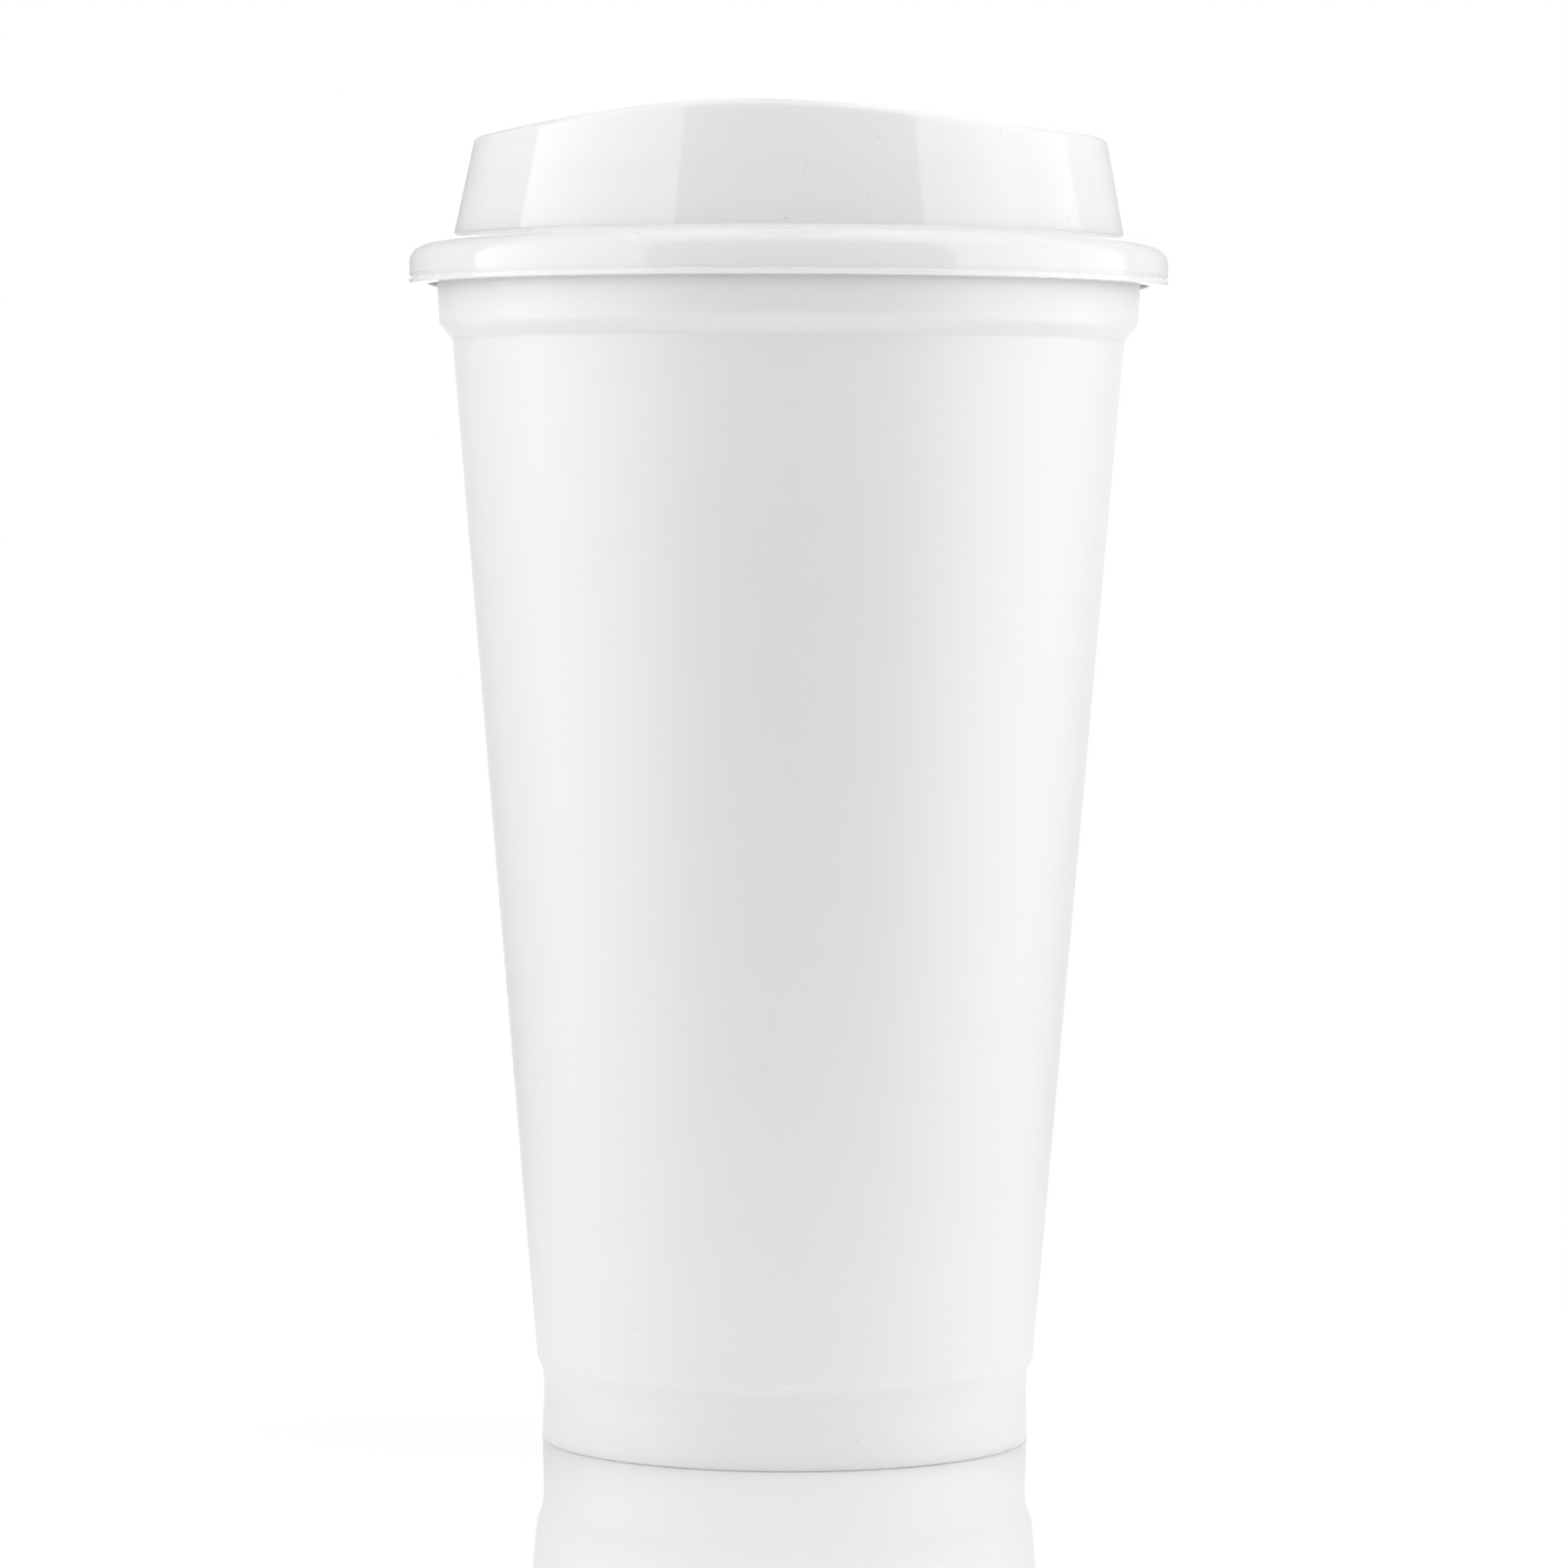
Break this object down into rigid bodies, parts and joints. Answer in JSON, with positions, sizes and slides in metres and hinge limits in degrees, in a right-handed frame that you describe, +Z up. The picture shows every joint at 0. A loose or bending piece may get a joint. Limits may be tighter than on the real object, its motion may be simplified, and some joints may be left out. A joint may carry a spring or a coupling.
{
  "type": "travel tumbler",
  "caption": "Reusable plastic hot-drink tumbler: a tapered cup with a collar and a stepped foot, closed by a lift-off domed sip lid with a raised drinking lip.",
  "frame": {"origin": "centre of the foot ring, on the surface that the tumbler stands on", "axes": "+Z up along the axis of the cup, -Y towards the drinking side of the lid"},
  "size_m": [0.0952, 0.0952, 0.1651],
  "materials": {
    "cup_plastic": "satin white, moulded polypropylene",
    "lid_plastic": "glossy white, moulded polypropylene"
  },
  "bodies": {
    "cup": {"cup": "cup_plastic"},
    "lid": {"lid": "lid_plastic"}
  },
  "joints": [
    {"name": "lid_lift", "type": "slide", "parent": "cup", "child": "lid", "axis": [0, 0, 1], "range_m": [0, 0.06]}
  ]
}
